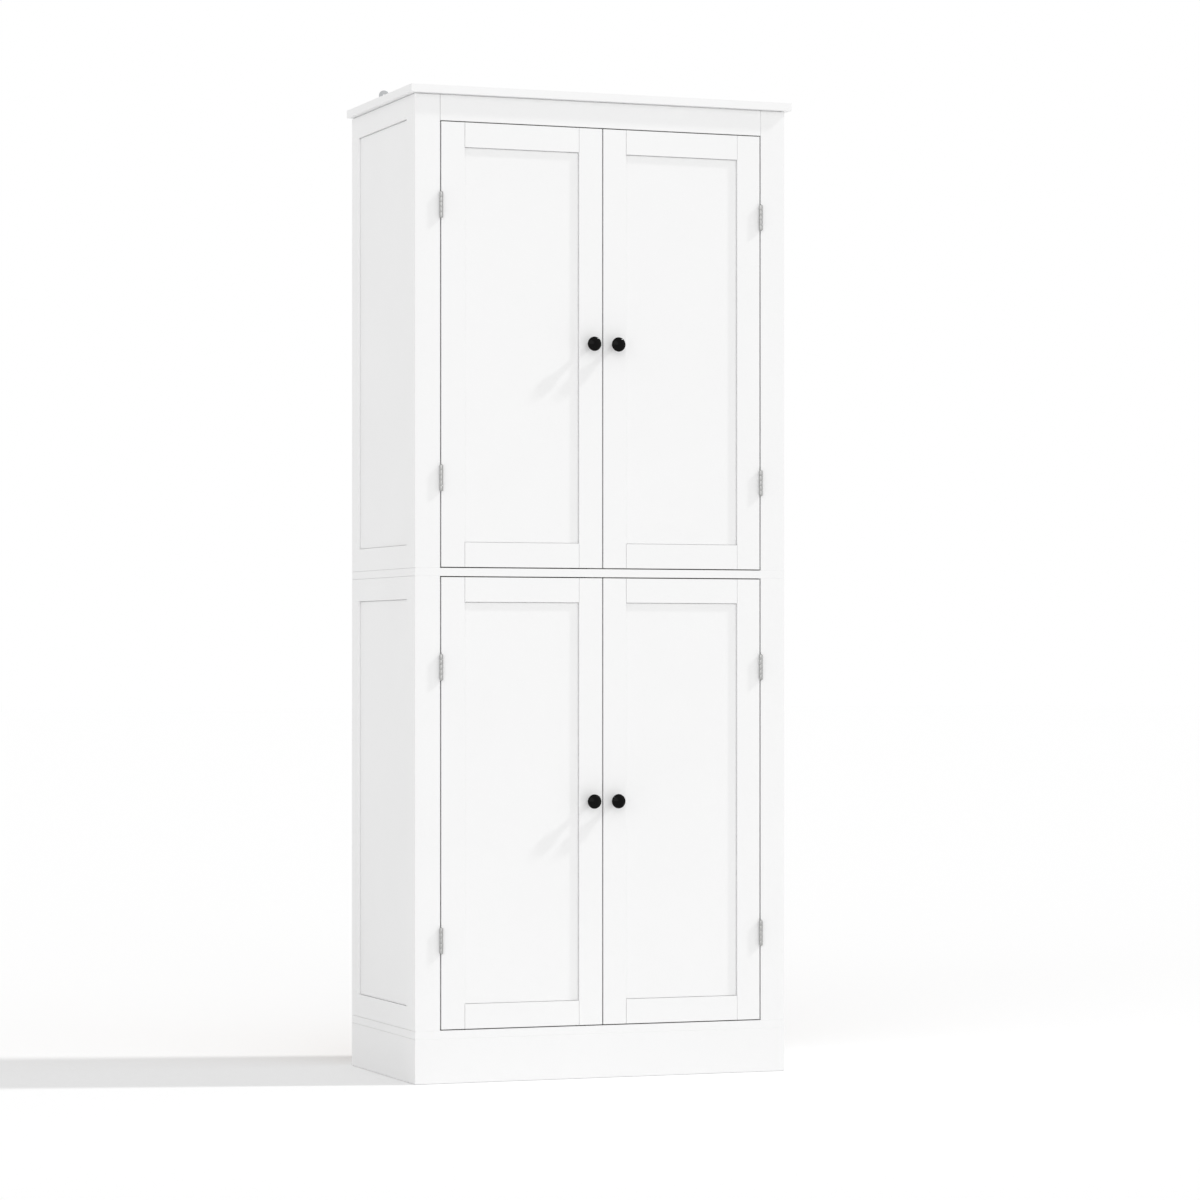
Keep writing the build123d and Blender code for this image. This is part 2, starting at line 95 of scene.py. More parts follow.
# %% Lamps
key_strength = 1.12
key_heading = (-0.9636, 0.2672)
key_drop = 41.0
key_spread = 3.5
fill_strength = 0.73
fill_heading = (0.466, 0.885)
fill_drop = 10.0
fill_spread = 60.0


def add_sun(name, heading, drop, spread, strength):
    """Adds a far lamp that shines along a heading in plan. Drop and spread are in degrees."""
    lamp_data = bpy.data.lights.new(name, "SUN")
    lamp_data.energy = strength
    lamp_data.angle = math.radians(spread)
    lamp = bpy.data.objects.new(name, lamp_data)
    slope = math.radians(drop)
    travel = Vector((*heading, 0)).normalized() * math.cos(slope) - Vector((0, 0, math.sin(slope)))
    lamp.rotation_euler = travel.to_track_quat("-Z", "Y").to_euler()
    scene.collection.objects.link(lamp)
    print(name, "shines along", [round(v, 3) for v in travel])


add_sun("key", key_heading, key_drop, key_spread, key_strength)
add_sun("fill", fill_heading, fill_drop, fill_spread, fill_strength)

# %% [markdown]
# The room and every finish are small trees of nodes. They could be drawn in the Shader Editor, but code can
# be read and repeated. One function adds a node, sets it and links it, so that a finish reads as a list of
# what it is made of. Colours are written as sRGB hex, as a paint chart gives them, and made linear once,
# because shaders reckon in linear light. Patterns are given a real size, which sets their scale.

# %% Helpers for finishes
# A Mix node has sockets for numbers, vectors and colours. These are its two colours and their mix.
mix_a, mix_b, mix_out = 6, 7, 2


def linear(hex_colour):
    """An sRGB hex colour as linear RGBA, by the sRGB curve: a short straight foot, then a power."""
    parts = [int(hex_colour[i:i + 2], 16) / 255 for i in (1, 3, 5)]
    return [p / 12.92 if p <= 0.04045 else ((p + 0.055) / 1.055) ** 2.4 for p in parts] + [1.0]


def add(tree, kind, inputs=None, **settings):
    """Adds a node, with its settings, socket values and links."""
    made = tree.nodes.new(kind)
    for name, value in settings.items():
        setattr(made, name, value)
    for socket, value in (inputs or {}).items():
        if isinstance(value, bpy.types.NodeSocket):
            tree.links.new(value, made.inputs[socket])
        else:
            made.inputs[socket].default_value = value
    return made


def new_finish(name):
    """An empty material, its node tree and its Object coordinates."""
    material = bpy.data.materials.new(name)
    material.use_nodes = True
    material.node_tree.nodes.clear()
    place = add(material.node_tree, "ShaderNodeTexCoord").outputs["Object"]
    return material, material.node_tree, place


def per_metre(size_mm):
    """The pattern scale that repeats about once in a size in millimetres."""
    return 1 / (size_mm * mm)


print("mid grey in linear light", [round(v, 3) for v in linear("#808080")[:3]])

# %% [markdown]
# Round the cabinet is an even white room, like a light tent. A world bright enough to show as white would
# also bleach the pale boards, and a grey one would look dull. Light Path tells the rays that see the room,
# straight or in a reflection, from the rays that light the cabinet: the first find white, the others less.

# %% White room
room_strength = 0.73
seen_strength = 1.0


def seen_ray(tree):
    """1 for a ray that sees the room, straight or in a reflection or glass, and 0 for one that lights."""
    rays = add(tree, "ShaderNodeLightPath").outputs
    seen = add(tree, "ShaderNodeMath", {0: rays["Is Camera Ray"], 1: rays["Is Glossy Ray"]},
               operation="MAXIMUM")
    seen = add(tree, "ShaderNodeMath", {0: seen.outputs[0], 1: rays["Is Transmission Ray"]},
               operation="MAXIMUM")
    return seen.outputs[0]


world = bpy.data.worlds.new("white_room")
world.use_nodes = True
tree = world.node_tree
tree.nodes.clear()
lit = add(tree, "ShaderNodeBackground", {"Color": linear("#FFFFFF"), "Strength": room_strength})
shown = add(tree, "ShaderNodeBackground", {"Color": linear("#FFFFFF"), "Strength": seen_strength})
mixed = add(tree, "ShaderNodeMixShader", {0: seen_ray(tree), 1: lit.outputs[0], 2: shown.outputs[0]})
add(tree, "ShaderNodeOutputWorld", {"Surface": mixed.outputs[0]})
scene.world = world
print("the room lights at", room_strength, "and shows at", seen_strength)

# %% [markdown]
# The floor is a roll of pale paper. A shadow catcher would keep the shadow and nothing else, while a real
# sheet also throws light back up at the cabinet. It is a little whiter to the rays that see it, so that it
# runs into the room with no horizon.

# %% Pale floor
floor_half = 60.0


def mesh_of(shape, name):
    """A new mesh with the faces of a bmesh, which is freed."""
    mesh = bpy.data.meshes.new(name)
    shape.to_mesh(mesh)
    shape.free()
    return mesh


floor_finish, tree, place = new_finish("pale studio floor")
# To the eye: an even white that only the cabinet's shadow breaks.
paper = add(tree, "ShaderNodeMix",
            {"Factor": seen_ray(tree), mix_a: linear("#F3F3F3"), mix_b: linear("#FDFDFD")},
            data_type="RGBA")
shader = add(tree, "ShaderNodeBsdfDiffuse", {"Color": paper.outputs[mix_out]})
add(tree, "ShaderNodeOutputMaterial", {"Surface": shader.outputs[0]})
sheet = bmesh.new()
bmesh.ops.create_grid(sheet, x_segments=1, y_segments=1, size=floor_half)
floor_mesh = mesh_of(sheet, "floor")
floor_mesh.materials.append(floor_finish)
floor = bpy.data.objects.new("floor", floor_mesh)
scene.collection.objects.link(floor)
print("floor", 2 * floor_half, "m square")

# %% [markdown]
# The boards are fibreboard sprayed with satin white lacquer. A plain white would look like plastic: sprayed
# lacquer dries with a faint orange peel a few millimetres across, and its sheen drifts from place to place.
# An image would need a UV map on every board. Noise in Object coordinates needs none and suits every size.

# %% Satin white lacquer on fibreboard
peel_mm = 3.0
peel_height = 0.3 * mm
drift_mm = 180.0

lacquer, tree, place = new_finish("satin white lacquer on fibreboard")
# To the eye: a soft, clean white, with blurred reflections that waver slightly along a board.
peel = add(tree, "ShaderNodeTexNoise", {"Vector": place, "Scale": per_metre(peel_mm), "Detail": 2.0})
drift = add(tree, "ShaderNodeTexNoise", {"Vector": place, "Scale": per_metre(drift_mm), "Detail": 3.0})
tone = add(tree, "ShaderNodeMix",
           {"Factor": drift.outputs["Fac"], mix_a: linear("#F4F4F4"), mix_b: linear("#F1F1F1")},
           data_type="RGBA")
sheen = add(tree, "ShaderNodeMapRange", {"Value": drift.outputs["Fac"], "To Min": 0.36, "To Max": 0.46})
skin = add(tree, "ShaderNodeBump",
           {"Height": peel.outputs["Fac"], "Strength": 0.06, "Distance": peel_height})
shader = add(tree, "ShaderNodeBsdfPrincipled", {
    "Base Color": tone.outputs[mix_out],
    "Roughness": sheen.outputs[0],
    "IOR": 1.5,
    "Normal": skin.outputs[0],
})
add(tree, "ShaderNodeOutputMaterial", {"Surface": shader.outputs[0]})
print(lacquer.name, "with a peel of", peel_mm, "mm")

# %% [markdown]
# The backs are thin hardboard: white laminate towards the shelves, bare brown fibre towards the wall.
# Two materials on two sets of faces would do, but the CAD meshes are left alone here. So one material reads
# how far back a point lies, and changes halfway through the board, inside the grooves that hold it.

# %% White-faced hardboard
fibre_mm = 3.0  # real fibres are finer than this, and are drawn coarse enough to show
fibre_height = 0.2 * mm
patch_mm = 90.0

hardboard, tree, place = new_finish("white-faced hardboard")
# To the eye: plain white inside, and outside a dull brown speckled with pressed fibres.
low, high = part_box("upper_back_panel")
middle_y = (low[1] + high[1]) / 2
depth = add(tree, "ShaderNodeSeparateXYZ", {"Vector": place})
behind = add(tree, "ShaderNodeMath", {0: depth.outputs["Y"], 1: middle_y}, operation="GREATER_THAN")
fibre = add(tree, "ShaderNodeTexNoise", {"Vector": place, "Scale": per_metre(fibre_mm), "Detail": 4.0})
patch = add(tree, "ShaderNodeTexNoise", {"Vector": place, "Scale": per_metre(patch_mm), "Detail": 3.0})
speckle = add(tree, "ShaderNodeMapRange",
              {"Value": fibre.outputs["Fac"], "From Min": 0.3, "From Max": 0.7})
pressed = add(tree, "ShaderNodeMix",
              {"Factor": patch.outputs["Fac"], mix_a: linear("#7E6347"), mix_b: linear("#886C4F")},
              data_type="RGBA")
brown = add(tree, "ShaderNodeMix",
            {"Factor": speckle.outputs[0], mix_a: pressed.outputs[mix_out], mix_b: linear("#A1866A")},
            data_type="RGBA")
colour = add(tree, "ShaderNodeMix",
             {"Factor": behind.outputs[0], mix_a: linear("#F2F2F0"), mix_b: brown.outputs[mix_out]},
             data_type="RGBA")
sheen = add(tree, "ShaderNodeMapRange", {"Value": behind.outputs[0], "To Min": 0.4, "To Max": 0.8})
tooth = add(tree, "ShaderNodeBump",
            {"Height": fibre.outputs["Fac"], "Strength": 0.15, "Distance": fibre_height})
shader = add(tree, "ShaderNodeBsdfPrincipled", {
    "Base Color": colour.outputs[mix_out],
    "Roughness": sheen.outputs[0],
    "Normal": tooth.outputs[0],
})
add(tree, "ShaderNodeOutputMaterial", {"Surface": shader.outputs[0]})
print(hardboard.name, "turns brown behind y =", round(middle_y, 4), "m")

# %% [markdown]
# The hinges are steel strip, rolled and plated with satin nickel. The strip was drawn through a die, so fine
# lines run along the barrel. An anisotropic shader could fake them with no pattern, but the lines also change
# the colour a little. So noise is stretched along the barrel, and drives both tone and roughness.

# %% Satin nickel on steel
line_mm = 0.5  # real lines are near 0.1 mm, and are drawn coarse enough to show
line_stretch = 0.02

nickel, tree, place = new_finish("satin nickel on steel")
# To the eye: a plain mid grey with a soft streak of light down each barrel.
along = add(tree, "ShaderNodeMapping", {"Vector": place, "Scale": (1.0, 1.0, line_stretch)})
drawn = add(tree, "ShaderNodeTexNoise",
            {"Vector": along.outputs[0], "Scale": per_metre(line_mm), "Detail": 2.0})
sheen = add(tree, "ShaderNodeMapRange", {"Value": drawn.outputs["Fac"], "To Min": 0.2, "To Max": 0.36})
tone = add(tree, "ShaderNodeMix",
           {"Factor": drawn.outputs["Fac"], mix_a: linear("#A2A2A1"), mix_b: linear("#B8B8B7")},
           data_type="RGBA")
shader = add(tree, "ShaderNodeBsdfPrincipled", {
    "Base Color": tone.outputs[mix_out],
    "Metallic": 1.0,
    "Roughness": sheen.outputs[0],
})
add(tree, "ShaderNodeOutputMaterial", {"Surface": shader.outputs[0]})
print(nickel.name, "with lines", round(line_mm / line_stretch), "mm long")

# %% [markdown]
# The brackets, shelf pins, strike plates and screws are zinc-plated steel. Zinc comes out of the bath with a
# faint cloudiness. One grey and one roughness would read as plain steel, so noise a few millimetres across
# shifts both, as the crystals in the plating do.

# %% Bright zinc on steel
cloud_mm = 6.0

zinc, tree, place = new_finish("bright zinc on steel")
# To the eye: a cool, light grey metal with uneven, cloudy reflections.
cloud = add(tree, "ShaderNodeTexNoise", {"Vector": place, "Scale": per_metre(cloud_mm), "Detail": 5.0})
sheen = add(tree, "ShaderNodeMapRange", {"Value": cloud.outputs["Fac"], "To Min": 0.24, "To Max": 0.46})
tone = add(tree, "ShaderNodeMix",
           {"Factor": cloud.outputs["Fac"], mix_a: linear("#AAACAE"), mix_b: linear("#C2C4C5")},
           data_type="RGBA")
shader = add(tree, "ShaderNodeBsdfPrincipled", {
    "Base Color": tone.outputs[mix_out],
    "Metallic": 1.0,
    "Roughness": sheen.outputs[0],
})
add(tree, "ShaderNodeOutputMaterial", {"Surface": shader.outputs[0]})
print(zinc.name, "with clouds of", cloud_mm, "mm")

# %% [markdown]
# The knobs are cast metal under gloss black enamel. A pure black mirror would look like glass: enamel flows
# as it dries and keeps a slight ripple, which varies its gloss. In a white room a typical IOR greys the
# black, so a lower one was matched to the photograph.

# %% Gloss black enamel
ripple_mm = 5.0

enamel, tree, place = new_finish("gloss black enamel")
# To the eye: a deep black with one small, bright highlight and a faint window of light on the dome.
ripple = add(tree, "ShaderNodeTexNoise", {"Vector": place, "Scale": per_metre(ripple_mm), "Detail": 2.0})
sheen = add(tree, "ShaderNodeMapRange", {"Value": ripple.outputs["Fac"], "To Min": 0.1, "To Max": 0.14})
shader = add(tree, "ShaderNodeBsdfPrincipled", {
    "Base Color": linear("#020202"),
    "Roughness": sheen.outputs[0],
    "IOR": 1.2,
})
add(tree, "ShaderNodeOutputMaterial", {"Surface": shader.outputs[0]})
print(enamel.name, "with a ripple of", ripple_mm, "mm")

# %% [markdown]
# The housings of the catches are moulded in white ABS, in a mould that was spark-eroded, which leaves a fine
# grain. Displacing the mesh would cost thousands of faces for a grain that hardly shows. A bump is enough.

# %% Moulded white ABS
grain_mm = 0.6  # real grain is near 0.1 mm, and is drawn coarse enough to show
grain_height = 0.05 * mm

plastic, tree, place = new_finish("moulded white ABS")
# To the eye: a warmer, flatter white than the lacquer beside it.
grain = add(tree, "ShaderNodeTexNoise", {"Vector": place, "Scale": per_metre(grain_mm), "Detail": 2.0})
tooth = add(tree, "ShaderNodeBump",
            {"Height": grain.outputs["Fac"], "Strength": 0.2, "Distance": grain_height})
tone = add(tree, "ShaderNodeMix",
           {"Factor": grain.outputs["Fac"], mix_a: linear("#E6E5E0"), mix_b: linear("#EEEDE9")},
           data_type="RGBA")
shader = add(tree, "ShaderNodeBsdfPrincipled", {
    "Base Color": tone.outputs[mix_out],
    "Roughness": 0.5,
    "Normal": tooth.outputs[0],
})
add(tree, "ShaderNodeOutputMaterial", {"Surface": shader.outputs[0]})
print(plastic.name, "with a grain of", grain_mm, "mm")

# %% [markdown]
# The magnets are sintered ferrite, a ceramic pressed from black powder. It could pass as a dark plastic, but
# its grains show as a salt and pepper of greys, so noise mixes two of them.

# %% Sintered ferrite
powder_mm = 0.6  # real powder is far finer, and is drawn coarse enough to show

ferrite, tree, place = new_finish("sintered ferrite")
# To the eye: a dull charcoal that never shines.
powder = add(tree, "ShaderNodeTexNoise", {"Vector": place, "Scale": per_metre(powder_mm), "Detail": 4.0})
tone = add(tree, "ShaderNodeMix",
           {"Factor": powder.outputs["Fac"], mix_a: linear("#2C2C2E"), mix_b: linear("#4A4A4C")},
           data_type="RGBA")
shader = add(tree, "ShaderNodeBsdfPrincipled", {"Base Color": tone.outputs[mix_out], "Roughness": 0.62})
add(tree, "ShaderNodeOutputMaterial", {"Surface": shader.outputs[0]})
print(ferrite.name, "with grains of", powder_mm, "mm")

# %% [markdown]
# The dowels are bare beech, which has short dark flecks along the grain. A Wave texture would draw the rings
# of a larger board. A dowel is too thin to show any, so stretched noise draws the flecks alone.

# %% Bare beech
fleck_mm = 1.2
fleck_stretch = 0.1

beech, tree, place = new_finish("bare beech")
# To the eye: a pale, dry tan with fine darker dashes.
along = add(tree, "ShaderNodeMapping", {"Vector": place, "Scale": (1.0, 1.0, fleck_stretch)})
fleck = add(tree, "ShaderNodeTexNoise",
            {"Vector": along.outputs[0], "Scale": per_metre(fleck_mm), "Detail": 3.0})
tone = add(tree, "ShaderNodeMix",
           {"Factor": fleck.outputs["Fac"], mix_a: linear("#B98F62"), mix_b: linear("#DDBB8E")},
           data_type="RGBA")
shader = add(tree, "ShaderNodeBsdfPrincipled", {"Base Color": tone.outputs[mix_out], "Roughness": 0.6})
add(tree, "ShaderNodeOutputMaterial", {"Surface": shader.outputs[0]})
print(beech.name, "with flecks", round(fleck_mm / fleck_stretch), "mm long")

# %% [markdown]
# The boards' own shapes are right as they come from CAD: eased arrises, grooves, pin holes and fields.
# They only need their finish. Naming every node here would repeat the record, which already says which slot
# each one belongs to, so the finishes follow the slots.

# %% Finish the CAD nodes
finish_of_slot = {
    "white_painted_board": lacquer,
    "white_back_board": hardboard,
    "satin_hinge_steel": nickel,
    "black_knob": enamel,
    "catch_plastic": plastic,
    "zinc_plated_steel": zinc,
    "beech_dowel": beech,
}
for row in frame["record"]["subparts"]:
    mesh = nodes[row["node"]].data
    mesh.materials.clear()
    mesh.materials.append(finish_of_slot[row["material_slot"]])

# %% [markdown]
# The metalwork is modelled again, finer than the solids: it is small, shiny and close to the eye.
# Every piece starts as a bmesh and ends in the same way, so one function does that. It welds the mesh, keeps
# sharp edges sharp, and puts the piece on the body that carries it, in place of the solid it stands for.

# %% Helper that keeps a piece
weld = 0.001 * mm
crease = 35  # degrees


def keep(shape, name, finish, body, slot, *stands_for):
    """Makes a finished piece of a bmesh, on a body, in place of CAD nodes."""
    bmesh.ops.remove_doubles(shape, verts=shape.verts, dist=weld)
    mesh = mesh_of(shape, name)
    mesh.shade_smooth()
    mesh.set_sharp_from_angle(angle=math.radians(crease))
    mesh.materials.append(finish)
    piece = bpy.data.objects.new(name, mesh)
    scene.collection.objects.link(piece)
    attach(piece, body)
    if stands_for:
        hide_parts(*stands_for)
    print(name, "has", len(mesh.polygons), "faces and rides on", body)


print("edges over", crease, "degrees stay sharp")

# %% [markdown]
# A knob is a turned form: a foot, a waist and a domed head. It could be sculpted from a cylinder with loop
# cuts, but a turner thinks of its outline, a handful of arcs that run smoothly into each other. So each arc
# leaves at the heading of the one before it, and only its end needs a place.

# %% Arcs
def arc(centre, radius, start, end, steps):
    """Points along an arc, from one angle to another in degrees."""
    turns = [math.radians(start + (end - start) * i / steps) for i in range(steps + 1)]
    return [(centre[0] + radius * math.cos(t), centre[1] + radius * math.sin(t)) for t in turns]


def bend(start, heading, end, steps):
    """The arc from a point, off at a heading in degrees, to another point, and the heading at its end."""
    run, rise = end[0] - start[0], end[1] - start[1]
    turn = 2 * (math.degrees(math.atan2(rise, run)) - heading)
    radius = math.hypot(run, rise) / (2 * math.sin(math.radians(turn / 2)))
    slope = math.radians(heading)
    centre = (start[0] - radius * math.sin(slope), start[1] + radius * math.cos(slope))
    return arc(centre, radius, heading - 90, heading - 90 + turn, steps), heading + turn


quarter, heading = bend((0.0, 0.0), 0, (1.0, 1.0), 4)
print("a bend from level to", round(heading), "degrees has", len(quarter), "points")

# %% [markdown]
# The outline runs from the door outwards: up the foot and waist, out along the underside, round the rim and
# in over the dome. Points could be traced off the photograph, but a knob is only a few pixels there. Its
# radius and projection are read from the solid instead, and the arcs fill in what lies between.

# %% Outline of a knob
knob_foot = (6.0, 1.6)  # radius and height; an outline is in millimetres
knob_neck = (5.2, 7.0)
knob_under_radius = 11.3
knob_under_drop = 3.45
knob_rim_round = 3.0
knob_dome_radius = 23.0
waist_steps, flare_steps, lip_steps, edge_steps, face_steps = 8, 12, 6, 8, 14


def knob_outline(radius, height):
    """(radius, height) points of the knob in millimetres, from the door outwards."""
    reach = knob_dome_radius - knob_rim_round
    across = radius - knob_rim_round
    lift = math.sqrt(reach ** 2 - across ** 2)
    dome_middle = height - knob_dome_radius
    rim = (radius, dome_middle + lift)
    under = (knob_under_radius, rim[1] - knob_under_drop)
    meeting = knob_dome_radius / reach
    crown = (across * meeting, dome_middle + lift * meeting)
    waist = bend(knob_neck, -90, knob_foot, waist_steps)[0]
    flare, rising = bend(knob_neck, 90, under, flare_steps)
    lip = bend(under, rising, rim, lip_steps)[0]
    edge, inward = bend(rim, 90, crown, edge_steps)
    face = bend(crown, inward, (0.0, height), face_steps)[0]
    outline = [(0.0, 0.0), (knob_foot[0], 0.0)] + waist[::-1]
    for run in (flare, lip, edge, face):
        outline += run[1:]
    return outline


low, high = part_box("lower_left_door_knob")
knob_radius = (high[0] - low[0]) / 2 / mm
knob_projection = (high[1] - low[1]) / mm
turned = knob_outline(knob_radius, knob_projection)
print("a knob of", round(2 * knob_radius, 1), "mm has an outline of", len(turned), "points")

# %% [markdown]
# The outline is spun about its axis, as on a lathe. A Screw modifier would do the same and stay live, but a
# finished mesh is simpler to place. The seam and the poles of a spin are doubled points, so they are merged,
# and then the normals are worked out again. The solid knob has the same sizes, so the new one replaces it.

# %% Turn the knobs
knob_sides = 72
doors = [f"{level}_{hand}" for level in ("lower", "upper") for hand in ("left", "right")]


def spun(outline, sides):
    """A bmesh turned about Z from an outline of (radius, height) points, in millimetres."""
    shape = bmesh.new()
    points = [shape.verts.new((radius * mm, 0, height * mm)) for radius, height in outline]
    edges = [shape.edges.new(pair) for pair in zip(points, points[1:])]
    bmesh.ops.spin(shape, geom=points + edges, cent=(0, 0, 0), axis=(0, 0, 1), angle=2 * math.pi,
                   steps=sides, use_merge=True)
    bmesh.ops.remove_doubles(shape, verts=shape.verts, dist=weld)
    bmesh.ops.recalc_face_normals(shape, faces=shape.faces)
    return shape


def standing(place, direction):
    """A matrix that stands +Z on a place, along a direction."""
    turn = Vector(direction).to_track_quat("Z", "Y").to_matrix().to_4x4()
    return Matrix.Translation(place) @ turn


def rear_middle(node):
    """The middle of the rear of a node's box."""
    low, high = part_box(node)
    return (low[0] + high[0]) / 2, high[1], (low[2] + high[2]) / 2


for door in doors:
    knob = spun(turned, knob_sides)
    seat = rear_middle(f"{door}_door_knob")
    bmesh.ops.transform(knob, matrix=standing(seat, (0, -1, 0)), verts=knob.verts)
    keep(knob, f"{door}_knob", enamel, f"{door}_door", "black_knob", f"{door}_door_knob")

# %% [markdown]
# A butt hinge is two leaves rolled into knuckles round one pin. Shut, only the barrel shows.
# Where each one stands could be typed in again, but then it could stray from the CAD. So the joint gives the
# axis, and the solid leaves give the heights.

# %% Where the hinges are
barrel_length = 47.0 * mm
joint_of = {joint["child"]: joint for joint in frame["joints"]}


def hinge_places(door):
    """The axis (x, y) of a door's hinges, and their middle heights."""
    x, y = joint_of[f"{door}_door"]["pos_m"][:2]
    low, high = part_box(f"{door}_door_hinge_leaves")
    return x, y, (low[2] + barrel_length / 2, high[2] - barrel_length / 2)


for door in doors:
    x, y, levels = hinge_places(door)
    print(door, "hinges at", round(x, 4), round(y, 4), "and heights", [round(v, 3) for v in levels])

# %% [markdown]
# A leaf is made of flat plates and short cylinders, all with rounded edges. A Bevel modifier would round
# every edge alike. Bevelling in the bmesh picks the edges: all of a plate's, but only the end rings of a
# knuckle, where a soft edge catches the light.

# %% Plates and knuckles
barrel_radius = 3.4 * mm
knuckle_round = 0.12 * mm
knuckle_sides = 40
ring_angle = math.radians(60)
round_steps = 3


def slab(shape, low, high, ease):
    """Adds a box between two corners in metres, its edges rounded by ease in metres."""
    made = bmesh.ops.create_cube(shape, size=1.0)["verts"]
    size = [high[i] - low[i] for i in range(3)]
    centre = [(high[i] + low[i]) / 2 for i in range(3)]
    matrix = Matrix.Translation(centre) @ Matrix.Diagonal((*size, 1.0))
    bmesh.ops.transform(shape, matrix=matrix, verts=made)
    edges = {edge for vert in made for edge in vert.link_edges}
    bmesh.ops.bevel(shape, geom=list(edges), offset=ease, segments=round_steps, profile=0.5,
                    affect="EDGES", material=-1)


def add_knuckle(shape, place, length):
    """Adds one knuckle, upright round a place, with rounded ends."""
    made = bmesh.ops.create_cone(shape, cap_ends=True, segments=knuckle_sides, radius1=barrel_radius,
                                 radius2=barrel_radius, depth=length,
                                 matrix=Matrix.Translation(place))["verts"]
    rings = {edge for vert in made for edge in vert.link_edges if len(edge.link_faces) == 2}
    rings = [edge for edge in rings if edge.calc_face_angle() > ring_angle]
    bmesh.ops.bevel(shape, geom=rings, offset=knuckle_round, segments=round_steps, profile=0.5,
                    affect="EDGES", material=-1)


print("a barrel is", round(2 * barrel_radius / mm, 1), "mm thick, with", knuckle_sides, "sides")

# %% [markdown]
# Each leaf is a thin plate with a tongue to every other knuckle, so that the door's and the frame's knuckles
# take turns along the barrel. A whole hinge could be one piece, but half of it swings and half of it stays.
# So each door has its own leaves, and the frame's are one piece.

# %% Hinge leaves
knuckle_count = 5
knuckle_play = 0.3 * mm
leaf_thickness = 1.1 * mm
leaf_depth = 13.0 * mm
leaf_round = 0.2 * mm
hinge_gap = 2.6 * mm
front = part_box("plinth_front")[0][1]


def add_leaves(shape, door, way, first):
    """Adds a door's hinge leaves: the frame's where way is 1, the door's where it is -1."""
    x, y, levels = hinge_places(door)
    side = way * math.copysign(1, x)
    pitch = (barrel_length + knuckle_play) / knuckle_count
    length = pitch - knuckle_play
    outer = x + side * hinge_gap / 2
    near, far = sorted((outer, outer - side * leaf_thickness))
    for level in levels:
        base = level - barrel_length / 2
        slab(shape, (near, front + knuckle_play, base), (far, front + leaf_depth, base + barrel_length),
             leaf_round)
        for index in range(first, knuckle_count, 2):
            bottom = base + index * pitch
            slab(shape, (near, y, bottom), (far, front + 2 * knuckle_play, bottom + length), leaf_round)
            add_knuckle(shape, (x, y, bottom + length / 2), length)


frame_leaves = bmesh.new()
for door in doors:
    add_leaves(frame_leaves, door, 1, 0)
    door_leaves = bmesh.new()
    add_leaves(door_leaves, door, -1, 1)
    keep(door_leaves, f"{door}_leaves", nickel, f"{door}_door", "satin_hinge_steel",
         f"{door}_door_hinge_leaves")
keep(frame_leaves, "frame_leaves", nickel, "carcass", "satin_hinge_steel", "hinge_frame_leaves")

# %% [markdown]
# A pin holds the two leaves together, with a domed head at each end of the barrel. All sixteen heads are
# alike. Linked copies would be sixteen objects, so one head is spun, and its mesh is stamped into one piece.

# %% Hinge pins
pin_head_radius = 2.9  # in millimetres, for an outline
pin_head_height = 1.6
pin_head_sides = 32
pin_dome_steps = 8


def stamp(shape, mesh, matrix):
    """Adds a copy of a mesh to a bmesh, at a matrix."""
    before = len(shape.verts)
    shape.from_mesh(mesh)
    shape.verts.ensure_lookup_table()
    bmesh.ops.transform(shape, matrix=matrix, verts=shape.verts[before:])


dome_radius = (pin_head_radius ** 2 + pin_head_height ** 2) / (2 * pin_head_height)
dome_angle = math.degrees(math.asin(pin_head_radius / dome_radius))
dome = arc((0.0, pin_head_height - dome_radius), dome_radius, 90 - dome_angle, 90, pin_dome_steps)
pin_head = mesh_of(spun([(0.0, 0.0), (pin_head_radius, 0.0)] + dome[1:], pin_head_sides), "pin_head")
pins = bmesh.new()
for door in doors:
    x, y, levels = hinge_places(door)
    for level in levels:
        for end in (-1, 1):
            stamp(pins, pin_head, standing((x, y, level + end * barrel_length / 2), (0, 0, end)))
keep(pins, "pin_heads", nickel, "carcass", "satin_hinge_steel", "hinge_pins")

# %% [markdown]
# Every screw has a cross recess. It could be painted on with a dark pattern, but light falls into a real one.
# So a cross is cut out of the head with a Boolean, as a punch would sink it. Its result is taken at once,
# because the cut heads are only patterns that later cells stamp into place.

# %% Cutting a recess
def cut_out(mesh, cutter_mesh):
    """The mesh that is left of one mesh when another is cut out of it."""
    body, cutter = [bpy.data.objects.new(part.name, part) for part in (mesh, cutter_mesh)]
    for thing in (body, cutter):
        scene.collection.objects.link(thing)
    cut = body.modifiers.new("cross", "BOOLEAN")
    cut.object = cutter
    cut.solver = "EXACT"
    cut.use_self = True
    graph = bpy.context.evaluated_depsgraph_get()
    left = bpy.data.meshes.new_from_object(body.evaluated_get(graph))
    for thing in (body, cutter):
        bpy.data.objects.remove(thing)
    print(mesh.name, "has", len(left.polygons), "faces once cut")
    return left


# %% [markdown]
# The heads come in two kinds: flush ones for the hinges, catches and strike plates, raised ones for the knobs
# and brackets. A library of screws could supply them, but a head is only a short outline. It is spun, and the
# cross is two rounded bars that reach past its top, so that no skin is left over the recess.

# %% Screw heads
head_sides = 32
flush_rim = 0.05  # in millimetres, as the depths and radii below are
cone_depth = 1.82
cone_foot = 0.55  # as a share of the head's radius, as are the recess's reach and width
recess_reach = 0.62
recess_width = 0.3
recess_depth = 1.3
recess_ease = 0.05 * mm
cut_over = 1.0
bulge_share = 0.55  # of the head's height
bulge_steps = 6


